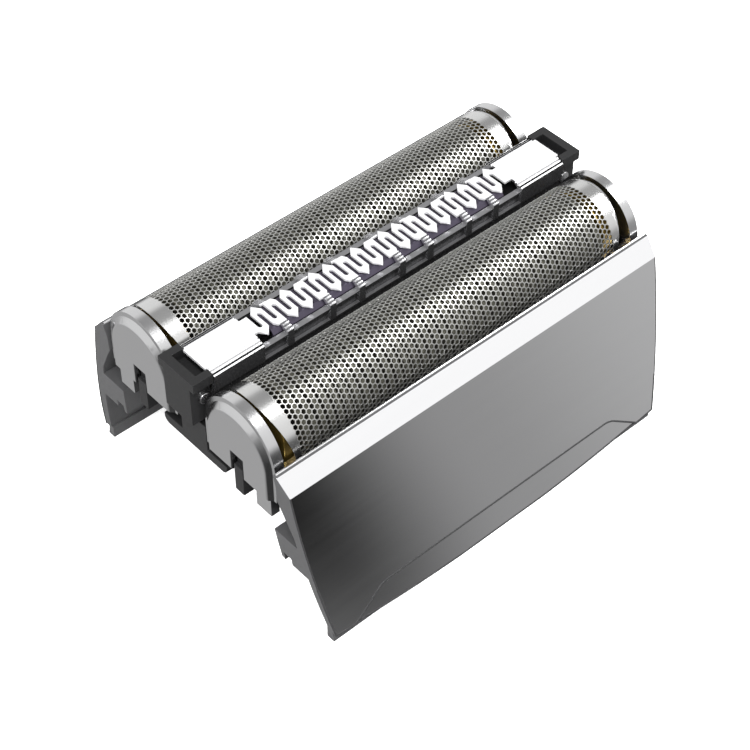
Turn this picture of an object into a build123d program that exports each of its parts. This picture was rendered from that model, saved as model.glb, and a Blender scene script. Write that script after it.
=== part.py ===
from build123d import *
import os

# Twin-foil shaver head with a long-hair trimmer between the foils.
# Frame: X along the foils, Y across them, Z up.
# Origin at the bottom centre, on the surface the skirts stand on.

# Skirts: the two long flared side covers
BODY_HEIGHT = 24.1
SKIRT_LENGTH = 55.0
CREASE_INSET = 0.3
FOOT_INSET = 2.35
RIDGE_FLAT = 0.6
CREASE_FLARE = 1.7
CREASE_DROP = 2.04
FOOT_FLARE = 6.31
RIDGE_WALL_DROP = 4.2
UPPER_WALL_DROP = 5.4
UPPER_WALL = 2.33
KNEE_DROP = 8.6
KNEE_WALL = 1.4
MIDDLE_DROP = 14.0
MIDDLE_WALL = 1.25
FOOT_THICKNESS = 1.2
LIP_WIDTH = 1.84
LIP_SETBACK = 0.7
SKIRT_LIP_HEIGHT = 1.7
FOOT_BOW = 1.4
FOOT_FLAT_DEPTH = 0.1
SIDE_BULGE = 0.42
BAND_HEIGHT = 4.1
BAND_DEPTH = 0.2
BAND_FOOT_INSET = 1.25
BAND_SLANT = 6.0
BAND_CORNER_R = 3.0

# Fixing rails and end brackets inside the skirts
RAIL_REACH = 1.73
RAIL_TOP_DROP = 10.0
RAIL_HEIGHT = 3.9
RAIL_EMBED = 0.8
BRACKET_LENGTH = 4.4
BRACKET_HEIGHT = 4.5
BRACKET_SLANT = 0.5
BRACKET_NOTCH = 1.1
NOTCH_LENGTH = 2.0
LATCH_WIDTH = 8.0
LATCH_DEPTH = 1.6

# Foil units
FLANGE_R = 5.75
FLANGE_SIDE_GAP = 0.35
ARCH_TOP_RISE = 4.8
FOIL_SETBACK = 0.25
FOIL_WALL = 0.25
FOIL_BOTTOM_DROP = 3.6
CAP_INSET = 0.05
FLANGE_THICKNESS = 1.26
BOSS_THICKNESS = 0.55
BOSS_BASE_SETBACK = 0.4
BOSS_FACE_SETBACK = 1.0
BOSS_FACE_TOP_RISE = 3.3
BOSS_BASE_TOP_RISE = 4.2
CAP_BOTTOM_DROP = 5.2
CAP_SLOT_GAP = 0.22
CAP_SLOT_TOP_DROP = 2.3
CAP_POCKET_GAP = 0.7
CAP_FOOT_OFFSET = 2.35
CAP_FOOT_GAP = 0.22
CAP_FOOT_DROP = 3.0
CAP_FOOT_THICKNESS = 1.1
HOLDER_RAIL_THICKNESS = 0.8
HOLDER_RAIL_TOP_DROP = 1.6
HOLDER_LEDGE_WIDTH = 0.6
HOLDER_LEDGE_HEIGHT = 0.4
HOLDER_BRIDGE_HEIGHT = 0.35
FOIL_END_GAP = 0.3
FOIL_MID_SETBACK = 0.75
FOIL_SIDE_SETBACK = 1.5
FOIL_MID_RISE = 2.4
FOIL_SIDE_DROP = 1.0
FOIL_TRAVEL = 1.6

# Coarse openings of each foil
HOLE_COLUMNS = 17
HOLE_ROWS = 7
FOIL_END_BAND = 3.74
HOLE_ROW_ANGLE = 24.0
HOLE_WEB = 0.3

# Cutters inside the foils
BLADE_CLEARANCE = 0.32
BLADE_RING = 1.05
BLADE_COUNT = 38
BLADE_END_GAP = 0.8
BLADE_THICKNESS = 0.62
BLADE_BOTTOM_DROP = 2.2
BLADE_SPINE_WIDTH = 0.95
BLADE_FOOT_HEIGHT = 0.9
BLADE_SPINE_HEIGHT = 0.8
CARRIER_CLEARANCE = 0.3
CARRIER_END_GAP = 0.3
CUTTER_STROKE = 0.8
CARRIER_LEDGE_GAP = 0.1
DRIVE_SOCKET_LENGTH = 3.2
DRIVE_SOCKET_HALF_WIDTH = 2.8
DRIVE_SOCKET_DEPTH = 1.7
END_BLOCK_CLEARANCE = 0.55
END_BLOCK_LENGTH = 1.6
END_BLOCK_INSET = 0.2

# Trimmer comb: one folded steel channel
TRIMMER_TOP_RISE = 4.59
COMB_SHEET = 0.3
COMB_WALL_GAP = 0.04
COMB_END_LIP = 0.25
TONGUE_LENGTH = 1.0
COMB_PLATE_HALF = 1.85
COMB_HALF_WIDTH = 3.0
COMB_LOWER_HALF = 2.6
COMB_FOIL_GAP = 0.23
COMB_SHOULDER_DROP = 0.49
COMB_STEP_DROP = 2.69
COMB_BOTTOM_DROP = 2.4
SHOULDER_RIDGES = 3
RIDGE_GROOVE = 0.12
RIDGE_GROOVE_DEPTH = 0.12
TONGUE_HALF = 1.27
SLOT_COUNT = 36
SLOT_PITCH = 1.006
SLOT_WIDTH = 0.56
SLOT_END_Y = 0.96
TIP_SHOULDER_Y = 1.25
TIP_Y = 2.15
BLUNT_Y = 1.78
BLUNT_CORNER = 0.4
POST_WIDTH = 0.85
POST_SHIFT = 0.3
LEFT_POST_SLOTS = (8, 18, 28)
RIGHT_POST_SLOTS = (2, 12, 22, 32)
REAR_LEFT_SLOTS = (3, 13, 23, 33)
REAR_RIGHT_SLOTS = (7, 17, 27)
UPPER_LIP_DROP = 1.04
LIP_HEIGHT = 0.2

# Trimmer carrier with its end hooks
HOOK_PROUD = 0.83
HOOK_COMB_GAP = 0.09
HOOK_HALF_WIDTH = 2.97
HOOK_DEPTH = 1.25
HOOK_END_WALL = 1.08
HOOK_POCKET_HALF = 2.0
HOOK_POCKET_DEPTH = 2.5
POST_FLANGE_GAP = 0.33
POST_BOTTOM_DROP = 2.0
CARRIER_BLOCK_LENGTH = 6.19
CARRIER_BLOCK_TOP_RISE = 1.5
CARRIER_BLOCK_BOTTOM_DROP = 2.4
CARRIER_RAIL_HEIGHT = 1.2
CARRIER_RAIL_THICKNESS = 0.35
TRIMMER_TRAVEL = 0.8
PIN_RADIUS = 0.7
PIN_INSET = 1.73
PIN_RISE = 1.2
PIN_PROUD = 0.3

# Trimmer blade and the block that drives it
TRIM_BLADE_END_GAP = 1.95
TRIM_BLADE_SIDE_GAP = 0.2
TRIM_BLADE_CHAMFER = 0.5
TRIM_BLADE_GAP = 0.09
TRIM_BLADE_SHEET = 0.35
TRIM_BLADE_DEPTH = 1.6
TRIM_TOOTH_SLOT = 0.5
TRIM_TOOTH_HALF = 1.5
TRIM_TOOTH_COUNT = 16
TRIM_BLOCK_INSET = 2.9
TRIM_BLOCK_GAP = 0.35
TRIM_SOCKET_LENGTH = 3.0
TRIM_SOCKET_DEPTH = 2.2

# Chassis that ties the skirts and carries the units
CHASSIS_WALL_INSET = 5.44
CHASSIS_WALL_THICKNESS = 3.4
CHASSIS_TOP_GAP = 0.6
CHASSIS_BOTTOM_DROP = 11.0
CHASSIS_SIDE_THICKNESS = 1.4
PLATE_REACH = 1.1
PLATE_FOOT_HALF = 5.45
PLATE_FOOT_HEIGHT = 1.3
PLATE_FOOT_GAP = 0.3
PLATE_SIDE_GAP = 0.38
PLATE_TOP_GAP = 0.2
PLATE_CORNER_R = 0.9
TAB_WIDTH = 1.46
TAB_GAP = 0.08
TAB_TOP_DROP = 1.0
TAB_BOTTOM_DROP = 8.1
TAB_NOSE_GAP = 0.15

# Overshoot of cutting and trimming shapes past the surfaces that they cross
OVERSHOOT = 1.0
POST_OVERLAP = 0.1

# Springs
SPRING_R = 0.9
SPRING_WIRE_R = 0.2
SPRING_WELL_R = 1.3
SPRING_WELL_FLOOR = 1.1
FOIL_SPRING_TURNS = 4.0
TRIMMER_SPRING_TURNS = 3.5

# Places that follow from the sizes above
RIDGE_HALF = SKIRT_LENGTH / 2
CREASE_HALF = RIDGE_HALF - CREASE_INSET
FOOT_HALF = RIDGE_HALF - FOOT_INSET
BAND_FOOT_HALF = FOOT_HALF - BAND_FOOT_INSET
BAND_TOP_HALF = BAND_FOOT_HALF - BAND_SLANT
BRACKET_X = CREASE_HALF - BRACKET_LENGTH
FLANGE_INNER_X = RIDGE_HALF - CAP_INSET - BOSS_THICKNESS - FLANGE_THICKNESS
ARCH_TOP_Z = BODY_HEIGHT + ARCH_TOP_RISE
ARCH_CENTRE_Z = ARCH_TOP_Z - FLANGE_R
CAP_BOTTOM_Z = BODY_HEIGHT - CAP_BOTTOM_DROP
FOIL_R = FLANGE_R - FOIL_SETBACK
FOIL_INNER_R = FOIL_R - FOIL_WALL
FOIL_Y = COMB_LOWER_HALF + COMB_FOIL_GAP + FOIL_R
BOSS_BASE_R = FLANGE_R - BOSS_BASE_SETBACK
BOSS_FACE_R = FLANGE_R - BOSS_FACE_SETBACK
RIDGE_OUTER_Y = FOIL_Y + FLANGE_R + FLANGE_SIDE_GAP + RIDGE_FLAT
CREASE_Y = RIDGE_OUTER_Y + CREASE_FLARE
FOOT_OUTER_Y = RIDGE_OUTER_Y + FOOT_FLARE
LIP_INNER_Y = FOOT_OUTER_Y - LIP_WIDTH
RAIL_INNER_Y = RIDGE_OUTER_Y - RAIL_REACH
FOIL_END_X = FLANGE_INNER_X - FOIL_END_GAP
HOLE_PITCH = 2 * (FOIL_END_X - FOIL_END_BAND) / (HOLE_COLUMNS - 1)
HOLE_RADIUS = (HOLE_PITCH - HOLE_WEB) / 2
CAP_SLOT_WIDTH = TAB_WIDTH + 2 * CAP_SLOT_GAP
CAP_POCKET_TOP_Z = BODY_HEIGHT - TAB_TOP_DROP + FOIL_TRAVEL + CAP_POCKET_GAP
HOLDER_RAIL_INNER = FOIL_INNER_R - HOLDER_RAIL_THICKNESS
CARRIER_HALF_LENGTH = FLANGE_INNER_X - CUTTER_STROKE - CARRIER_END_GAP
CARRIER_HALF_WIDTH = HOLDER_RAIL_INNER - CARRIER_CLEARANCE
END_BLOCK_START = CARRIER_HALF_LENGTH - END_BLOCK_INSET - END_BLOCK_LENGTH
BLADE_SPAN = 2 * (END_BLOCK_START - BLADE_END_GAP)
BLADE_PITCH = (BLADE_SPAN - BLADE_THICKNESS) / (BLADE_COUNT - 1)
TRIMMER_TOP_Z = BODY_HEIGHT + TRIMMER_TOP_RISE
COMB_PLATE_START_X = (SLOT_COUNT - 1) / 2 * SLOT_PITCH + SLOT_WIDTH / 2 + TONGUE_LENGTH
COMB_INNER_HALF = COMB_LOWER_HALF - COMB_SHEET
COMB_WALL_END_X = FLANGE_INNER_X - COMB_WALL_GAP
COMB_END_X = COMB_WALL_END_X + COMB_END_LIP
HOOK_START_X = COMB_WALL_END_X + HOOK_COMB_GAP
HOOK_END_X = RIDGE_HALF + HOOK_PROUD
HOOK_POCKET_END_X = HOOK_END_X - HOOK_END_WALL
CARRIER_BLOCK_START_X = HOOK_START_X - CARRIER_BLOCK_LENGTH
PIN_X = HOOK_END_X - PIN_INSET
POST_HALF_WIDTH = FOIL_Y - FLANGE_R - POST_FLANGE_GAP
TRIM_BLADE_HALF_LENGTH = COMB_PLATE_START_X - TRIM_BLADE_END_GAP
TRIM_BLOCK_HALF_LENGTH = TRIM_BLADE_HALF_LENGTH - TRIM_BLOCK_INSET
TRIM_BLADE_HALF_WIDTH = COMB_INNER_HALF - TRIM_BLADE_SIDE_GAP
TRIM_BLOCK_HALF_WIDTH = COMB_INNER_HALF - CARRIER_RAIL_THICKNESS - TRIM_BLOCK_GAP
CHASSIS_WALL_X = FLANGE_INNER_X - CHASSIS_WALL_INSET
CHASSIS_WALL_END_X = CHASSIS_WALL_X + CHASSIS_WALL_THICKNESS
CHASSIS_TOP_Z = CAP_BOTTOM_Z - FOIL_TRAVEL - CHASSIS_TOP_GAP
PLATE_END_X = FLANGE_INNER_X + PLATE_REACH
PLATE_FOOT_TOP_Z = CAP_BOTTOM_Z - FOIL_TRAVEL - PLATE_FOOT_GAP
PLATE_NARROW_HALF = FOIL_Y - FLANGE_R - PLATE_SIDE_GAP
PLATE_TOP_Z = BODY_HEIGHT - CARRIER_BLOCK_BOTTOM_DROP - TRIMMER_TRAVEL - PLATE_TOP_GAP
TAB_START_X = FLANGE_INNER_X + TAB_GAP
TAB_END_X = FLANGE_INNER_X + FLANGE_THICKNESS - TAB_GAP
TAB_NOSE_END_X = FLANGE_INNER_X + FLANGE_THICKNESS + BOSS_THICKNESS - TAB_NOSE_GAP
TAB_NOSE_TOP_Z = BODY_HEIGHT - CAP_SLOT_TOP_DROP - FOIL_TRAVEL - CAP_SLOT_GAP
SPRING_X = CHASSIS_WALL_X + CHASSIS_WALL_THICKNESS / 2


def block(x0, x1, y0, y1, z0, z1):
    """A box between two corners."""
    centre = Pos((x0 + x1) / 2, (y0 + y1) / 2, (z0 + z1) / 2)
    return centre * Box(abs(x1 - x0), abs(y1 - y0), abs(z1 - z0))


def section_bar(points, x0, x1):
    """A closed outline in the YZ plane, drawn out along X."""
    face = make_face(Polyline(*points, close=True))
    return Pos(x0, 0, 0) * extrude(Plane.YZ * face, x1 - x0)


def both_ends(shape):
    """The shape at the far end and its mirror image at the near end."""
    return shape + mirror(shape, about=Plane.YZ)


def both_sides(shape):
    """The shape and its mirror image across the XZ plane."""
    return shape + mirror(shape, about=Plane.XZ)


def arch_face(radius, top_z, bottom_z):
    """A D-shaped face standing in the YZ plane, round at the top."""
    spring_z = top_z - radius
    left = Line((-radius, bottom_z), (-radius, spring_z))
    crown = ThreePointArc((-radius, spring_z), (0, top_z), (radius, spring_z))
    right = Line((radius, spring_z), (radius, bottom_z))
    base = Line((radius, bottom_z), (-radius, bottom_z))
    return Plane.YZ * make_face([left, crown, right, base])


def arch_bar(radius, top_z, bottom_z, x0, x1):
    """A bar of D-shaped section along X."""
    return Pos(x0, 0, 0) * extrude(arch_face(radius, top_z, bottom_z), x1 - x0)


def face_y(z):
    """Outer face of the rear skirt at height z, below the crease."""
    slope = (FOOT_OUTER_Y - CREASE_Y) / (BODY_HEIGHT - CREASE_DROP)
    return FOOT_OUTER_Y - slope * z


def skirt_outline():
    """Front view of a skirt: straight ridge, bulged ends and bowed lower edge."""
    ridge = RIDGE_HALF
    crease = CREASE_HALF
    foot = FOOT_HALF
    crease_z = BODY_HEIGHT - CREASE_DROP
    foot_z = FOOT_BOW
    mid = ((crease + foot) / 2 + SIDE_BULGE, (crease_z + foot_z) / 2)
    return make_face(
        [
            Line((-ridge, BODY_HEIGHT), (ridge, BODY_HEIGHT)),
            Line((ridge, BODY_HEIGHT), (crease, crease_z)),
            ThreePointArc((crease, crease_z), mid, (foot, foot_z)),
            ThreePointArc((foot, foot_z), (0, -FOOT_FLAT_DEPTH), (-foot, foot_z)),
            ThreePointArc((-foot, foot_z), (-mid[0], mid[1]), (-crease, crease_z)),
            Line((-crease, crease_z), (-ridge, BODY_HEIGHT)),
        ]
    )


def skirt_band():
    """The shallow recess along the lower edge of a skirt's outer face."""
    corners = [
        (-BAND_FOOT_HALF, 0),
        (-BAND_TOP_HALF, BAND_HEIGHT),
        (BAND_TOP_HALF, BAND_HEIGHT),
        (BAND_FOOT_HALF, 0),
        (BAND_FOOT_HALF, -OVERSHOOT),
        (-BAND_FOOT_HALF, -OVERSHOOT),
    ]
    outline = make_face(Polyline(*corners, close=True))
    shoulders = [v for v in outline.vertices() if v.Y > BAND_HEIGHT / 2]
    outline = fillet(shoulders, BAND_CORNER_R)
    low_z = -OVERSHOOT
    high_z = BAND_HEIGHT + OVERSHOOT
    slab_points = [
        (face_y(low_z) - BAND_DEPTH, low_z),
        (face_y(low_z) + OVERSHOOT, low_z),
        (face_y(high_z) + OVERSHOOT, high_z),
        (face_y(high_z) - BAND_DEPTH, high_z),
    ]
    slab = section_bar(slab_points, -RIDGE_HALF, RIDGE_HALF)
    return slab & extrude(Plane.XZ * outline, FOOT_OUTER_Y + 2 * OVERSHOOT, both=True)


def rail_section(low_z, top_z, slant):
    """Outline of a rail from RAIL_INNER_Y into the skirt's wall, its inner face leaning out by slant."""
    return [
        (RAIL_INNER_Y, top_z),
        (face_y(top_z) - RAIL_EMBED, top_z),
        (face_y(low_z) - RAIL_EMBED, low_z),
        (RAIL_INNER_Y + slant, low_z),
    ]


def skirt():
    """Rear skirt with its inner rail and end brackets, one moulding."""
    ridge_inner_y = RIDGE_OUTER_Y - RIDGE_FLAT
    top = BODY_HEIGHT
    section = [
        (ridge_inner_y, top),
        (RIDGE_OUTER_Y, top),
        (CREASE_Y, top - CREASE_DROP),
        (face_y(-OVERSHOOT), -OVERSHOOT),
        (face_y(-OVERSHOOT) - FOOT_THICKNESS, -OVERSHOOT),
        (face_y(top - MIDDLE_DROP) - MIDDLE_WALL, top - MIDDLE_DROP),
        (face_y(top - KNEE_DROP) - KNEE_WALL, top - KNEE_DROP),
        (face_y(top - UPPER_WALL_DROP) - UPPER_WALL, top - UPPER_WALL_DROP),
        (ridge_inner_y, top - RIDGE_WALL_DROP),
    ]
    outline = extrude(Plane.XZ * skirt_outline(), FOOT_OUTER_Y + OVERSHOOT, both=True)
    rail_top = top - RAIL_TOP_DROP
    rail_low = rail_top - RAIL_HEIGHT
    bracket_low = rail_top - BRACKET_HEIGHT
    bracket = section_bar(rail_section(bracket_low, rail_top, BRACKET_SLANT), BRACKET_X, RIDGE_HALF)
    bracket -= block(
        CREASE_HALF - NOTCH_LENGTH,
        RIDGE_HALF,
        RAIL_INNER_Y + BRACKET_NOTCH,
        RAIL_INNER_Y + 2 * BRACKET_NOTCH,
        bracket_low,
        bracket_low + BRACKET_NOTCH,
    )
    shell = section_bar(section, -RIDGE_HALF, RIDGE_HALF) + both_ends(bracket)
    shell &= outline
    shell &= block(-SKIRT_LENGTH, SKIRT_LENGTH, 0, FOOT_OUTER_Y + OVERSHOOT, 0, BODY_HEIGHT)
    shell -= skirt_band()
    rail = section_bar(rail_section(rail_low, rail_top, 0), -BRACKET_X, BRACKET_X)
    rail -= block(
        -LATCH_WIDTH / 2,
        LATCH_WIDTH / 2,
        RAIL_INNER_Y,
        RAIL_INNER_Y + LATCH_DEPTH,
        rail_low,
        rail_low + LATCH_DEPTH,
    )
    lip = [
        (LIP_INNER_Y, 0),
        (face_y(0) - LIP_SETBACK, 0),
        (face_y(SKIRT_LIP_HEIGHT) - LIP_SETBACK, SKIRT_LIP_HEIGHT),
        (LIP_INNER_Y, SKIRT_LIP_HEIGHT),
    ]
    return shell + rail + section_bar(lip, -FOOT_HALF, FOOT_HALF)


def chassis():
    """Ring that ties the skirts, with the guide tabs, centre plates and spring wells."""
    top = CHASSIS_TOP_Z
    low = BODY_HEIGHT - CHASSIS_BOTTOM_DROP
    wall = block(CHASSIS_WALL_X, CHASSIS_WALL_END_X, -RAIL_INNER_Y, RAIL_INNER_Y, low, top)
    for y in (-FOIL_Y, FOIL_Y):
        wall -= Pos(SPRING_X, y, low + SPRING_WELL_FLOOR) * Cylinder(
            SPRING_WELL_R, CHASSIS_BOTTOM_DROP, align=(Align.CENTER, Align.CENTER, Align.MIN)
        )
    foot_top = PLATE_FOOT_TOP_Z
    foot_low = foot_top - PLATE_FOOT_HEIGHT
    foot = block(CHASSIS_WALL_END_X, PLATE_END_X, -PLATE_FOOT_HALF, PLATE_FOOT_HALF, foot_low, foot_top)
    foot = fillet(foot.edges().filter_by(Axis.X).group_by(Axis.Z)[0], PLATE_CORNER_R)
    narrow = PLATE_NARROW_HALF
    plate = block(CHASSIS_WALL_END_X, PLATE_END_X, -narrow, narrow, foot_low, PLATE_TOP_Z)
    tab_low = BODY_HEIGHT - TAB_BOTTOM_DROP
    ends = wall + foot + plate
    for y in (-FOIL_Y, FOIL_Y):
        near_y = y - TAB_WIDTH / 2
        far_y = y + TAB_WIDTH / 2
        ends += block(TAB_START_X, TAB_END_X, near_y, far_y, tab_low, BODY_HEIGHT - TAB_TOP_DROP)
        ends += block(TAB_END_X, TAB_NOSE_END_X, near_y, far_y, tab_low, TAB_NOSE_TOP_Z)
        ends += block(CHASSIS_WALL_END_X, TAB_START_X, near_y, far_y, tab_low, top)
    side = block(
        -CHASSIS_WALL_X, CHASSIS_WALL_X, RAIL_INNER_Y - CHASSIS_SIDE_THICKNESS, RAIL_INNER_Y, low, top
    )
    return both_ends(ends) + both_sides(side)


def end_cap():
    """Cap at the far end of the rear foil holder, drawn about y = 0 with the skirt on the +Y side."""
    flange_end_x = FLANGE_INNER_X + FLANGE_THICKNESS
    boss_end_x = flange_end_x + BOSS_THICKNESS
    cap = arch_bar(FLANGE_R, ARCH_TOP_Z, CAP_BOTTOM_Z, FLANGE_INNER_X, flange_end_x)
    boss_base = Pos(flange_end_x, 0, 0) * arch_face(
        BOSS_BASE_R, BODY_HEIGHT + BOSS_BASE_TOP_RISE, CAP_BOTTOM_Z
    )
    boss_face = Pos(boss_end_x, 0, 0) * arch_face(
        BOSS_FACE_R, BODY_HEIGHT + BOSS_FACE_TOP_RISE, CAP_BOTTOM_Z
    )
    cap += loft([boss_base.face(), boss_face.face()])
    half_slot = CAP_SLOT_WIDTH / 2
    slot_top = BODY_HEIGHT - CAP_SLOT_TOP_DROP
    cap -= block(FLANGE_INNER_X, flange_end_x, -half_slot, half_slot, CAP_BOTTOM_Z, CAP_POCKET_TOP_Z)
    cap -= block(flange_end_x, boss_end_x, -half_slot, half_slot, CAP_BOTTOM_Z, slot_top)
    cap += block(
        flange_end_x - CAP_FOOT_THICKNESS,
        flange_end_x,
        CAP_FOOT_OFFSET,
        RAIL_INNER_Y - FOIL_Y - CAP_FOOT_GAP,
        CAP_BOTTOM_Z - CAP_FOOT_DROP,
        CAP_BOTTOM_Z,
    )
    return cap


def foil_holder():
    """Holder of the rear foil: two end caps, side rails, ledges and end bridges in one moulding."""
    rail_inner = HOLDER_RAIL_INNER
    rail_top = BODY_HEIGHT - HOLDER_RAIL_TOP_DROP
    rail = block(-FLANGE_INNER_X, FLANGE_INNER_X, rail_inner, FOIL_INNER_R, CAP_BOTTOM_Z, rail_top)
    bridge_start = CHASSIS_WALL_X
    ledge_top = CAP_BOTTOM_Z + HOLDER_LEDGE_HEIGHT
    ledge_inner = rail_inner - HOLDER_LEDGE_WIDTH
    ledge = block(-bridge_start, bridge_start, ledge_inner, rail_inner, CAP_BOTTOM_Z, ledge_top)
    bridge_top = CAP_BOTTOM_Z + HOLDER_BRIDGE_HEIGHT
    bridge = block(bridge_start, FLANGE_INNER_X, -rail_inner, rail_inner, CAP_BOTTOM_Z, bridge_top)
    return both_sides(rail + ledge) + both_ends(end_cap() + bridge)


def foil_end_outline():
    """Side view of the foil: its ends draw in from the crown to the sides."""
    top_x = FOIL_END_X
    mid_x = FOIL_END_X - FOIL_MID_SETBACK
    side_x = FOIL_END_X - FOIL_SIDE_SETBACK
    top_z = ARCH_TOP_Z
    mid_z = BODY_HEIGHT + FOIL_MID_RISE
    side_z = BODY_HEIGHT - FOIL_SIDE_DROP
    low_z = BODY_HEIGHT - FOIL_BOTTOM_DROP
    return make_face(
        [
            Line((-top_x, top_z), (top_x, top_z)),
            ThreePointArc((top_x, top_z), (mid_x, mid_z), (side_x, side_z)),
            Line((side_x, side_z), (side_x, low_z)),
            Line((side_x, low_z), (-side_x, low_z)),
            Line((-side_x, low_z), (-side_x, side_z)),
            ThreePointArc((-side_x, side_z), (-mid_x, mid_z), (-top_x, top_z)),
        ]
    )


def foil():
    """Arched shaving foil with a field of hexagonal openings, drawn about y = 0."""
    low_z = BODY_HEIGHT - FOIL_BOTTOM_DROP
    crown_z = ARCH_CENTRE_Z + FOIL_R
    wall = arch_bar(FOIL_R, crown_z, low_z, -FOIL_END_X, FOIL_END_X)
    wall -= arch_bar(FOIL_INNER_R, crown_z - FOIL_WALL, low_z, -FOIL_END_X, FOIL_END_X)
    wall &= extrude(Plane.XZ * foil_end_outline(), FOIL_R + OVERSHOOT, both=True)
    punch = extrude(RegularPolygon(HOLE_RADIUS, 6), 3 * FOIL_WALL, both=True)
    punches = []
    for row in range(HOLE_ROWS):
        angle = (row - (HOLE_ROWS - 1) / 2) * HOLE_ROW_ANGLE
        columns = HOLE_COLUMNS - row % 2
        for column in range(columns):
            x = (column - (columns - 1) / 2) * HOLE_PITCH
            punches.append(Pos(x, 0, ARCH_CENTRE_Z) * Rot(angle, 0, 0) * Pos(0, 0, FOIL_R) * punch)
    return wall - punches


def cutter_blades():
    """Pack of arched blades on a common spine."""
    outer = FOIL_INNER_R - BLADE_CLEARANCE
    inner = outer - BLADE_RING
    low_z = BODY_HEIGHT - BLADE_BOTTOM_DROP
    arch = arch_bar(outer, ARCH_CENTRE_Z + outer, low_z, -BLADE_THICKNESS / 2, BLADE_THICKNESS / 2)
    arch -= arch_bar(inner, ARCH_CENTRE_Z + inner, low_z, -BLADE_THICKNESS / 2, BLADE_THICKNESS / 2)
    foot_top = low_z + BLADE_FOOT_HEIGHT
    half_width = CARRIER_HALF_WIDTH
    arch -= both_sides(block(-BLADE_THICKNESS, BLADE_THICKNESS, half_width, outer, low_z, foot_top))
    half_span = BLADE_SPAN / 2
    spine_inner = half_width - BLADE_SPINE_WIDTH
    spine_top = low_z + BLADE_SPINE_HEIGHT
    tie_start = half_span - BLADE_THICKNESS
    spine = both_sides(block(-half_span, half_span, spine_inner, half_width, low_z, spine_top))
    spine += both_ends(block(tie_start, half_span, -half_width, half_width, low_z, spine_top))
    places = [(i - (BLADE_COUNT - 1) / 2) * BLADE_PITCH for i in range(BLADE_COUNT)]
    return spine + [Pos(x, 0, 0) * arch for x in places]


def cutter_carrier():
    """Plastic bar that carries the blade pack, with the drive socket underneath."""
    half_length = CARRIER_HALF_LENGTH
    half_width = CARRIER_HALF_WIDTH
    low_z = CAP_BOTTOM_Z + HOLDER_LEDGE_HEIGHT + CARRIER_LEDGE_GAP
    top_z = BODY_HEIGHT - BLADE_BOTTOM_DROP
    bar = block(-half_length, half_length, -half_width, half_width, low_z, top_z)
    socket_x = DRIVE_SOCKET_LENGTH / 2
    socket_y = DRIVE_SOCKET_HALF_WIDTH
    return bar - block(-socket_x, socket_x, -socket_y, socket_y, low_z, low_z + DRIVE_SOCKET_DEPTH)


def end_block():
    """Brass block at the far end of a cutter."""
    radius = FOIL_INNER_R - END_BLOCK_CLEARANCE
    half_width = CARRIER_HALF_WIDTH
    low_z = BODY_HEIGHT - BLADE_BOTTOM_DROP
    end_x = END_BLOCK_START + END_BLOCK_LENGTH
    shape = arch_bar(radius, ARCH_CENTRE_Z + radius, low_z, END_BLOCK_START, end_x)
    return shape & block(END_BLOCK_START, end_x, -half_width, half_width, low_z, ARCH_TOP_Z)


def comb_section(inner):
    """Half-section points of the comb from the top plate out to the side wall, offset inwards by inner."""
    span = COMB_HALF_WIDTH - COMB_PLATE_HALF
    points = [(0, TRIMMER_TOP_Z - inner), (COMB_PLATE_HALF - inner / 2, TRIMMER_TOP_Z - inner)]
    if inner == 0:
        for i in range(SHOULDER_RIDGES):
            share = (i + 1) / SHOULDER_RIDGES
            y = COMB_PLATE_HALF + span * share
            z = TRIMMER_TOP_Z - COMB_SHOULDER_DROP * share
            groove_y = y - span / SHOULDER_RIDGES + RIDGE_GROOVE
            points.append((groove_y - RIDGE_GROOVE / 2, z - RIDGE_GROOVE_DEPTH))
            points.append((groove_y, z - RIDGE_GROOVE_DEPTH))
            points.append((groove_y + RIDGE_GROOVE, z + RIDGE_GROOVE_DEPTH))
            points.append((y, z))
    else:
        points.append((COMB_INNER_HALF, TRIMMER_TOP_Z - COMB_SHOULDER_DROP - inner))
    return points


def comb_shell(x0, x1, start_y):
    """Length of the comb channel from start_y outwards: top plate, ribbed shoulders and side walls."""
    step_z = TRIMMER_TOP_Z - COMB_STEP_DROP
    low_z = BODY_HEIGHT - COMB_BOTTOM_DROP
    outside = comb_section(0) + [
        (COMB_HALF_WIDTH, step_z),
        (COMB_LOWER_HALF, step_z),
        (COMB_LOWER_HALF, low_z),
        (0, low_z),
    ]
    inside = comb_section(COMB_SHEET) + [(COMB_INNER_HALF, low_z), (0, low_z)]
    half = section_bar(outside, x0, x1) - section_bar(inside, x0, x1)
    return both_sides(half & block(x0, x1, start_y, COMB_HALF_WIDTH, low_z, TRIMMER_TOP_Z))


def finger_tip(x, side, corner):
    """End of a comb finger: pointed when corner is 0, else square towards that X side."""
    reach = (SLOT_PITCH * 2 - SLOT_WIDTH) / 2
    if corner == 0:
        outline = [(-reach, 0), (-reach, TIP_SHOULDER_Y), (0, TIP_Y), (reach, TIP_SHOULDER_Y), (reach, 0)]
    else:
        outline = [
            (-reach * corner, 0),
            (-reach * corner, TIP_SHOULDER_Y),
            (-BLUNT_CORNER * corner, BLUNT_Y),
            (reach * corner, BLUNT_Y),
            (reach * corner, 0),
        ]
    return make_face(Polyline(*[(x + px, side * py) for px, py in outline], close=True))


def slot_x(index):
    """X of a comb slot."""
    return (index - (SLOT_COUNT - 1) / 2) * SLOT_PITCH


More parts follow.
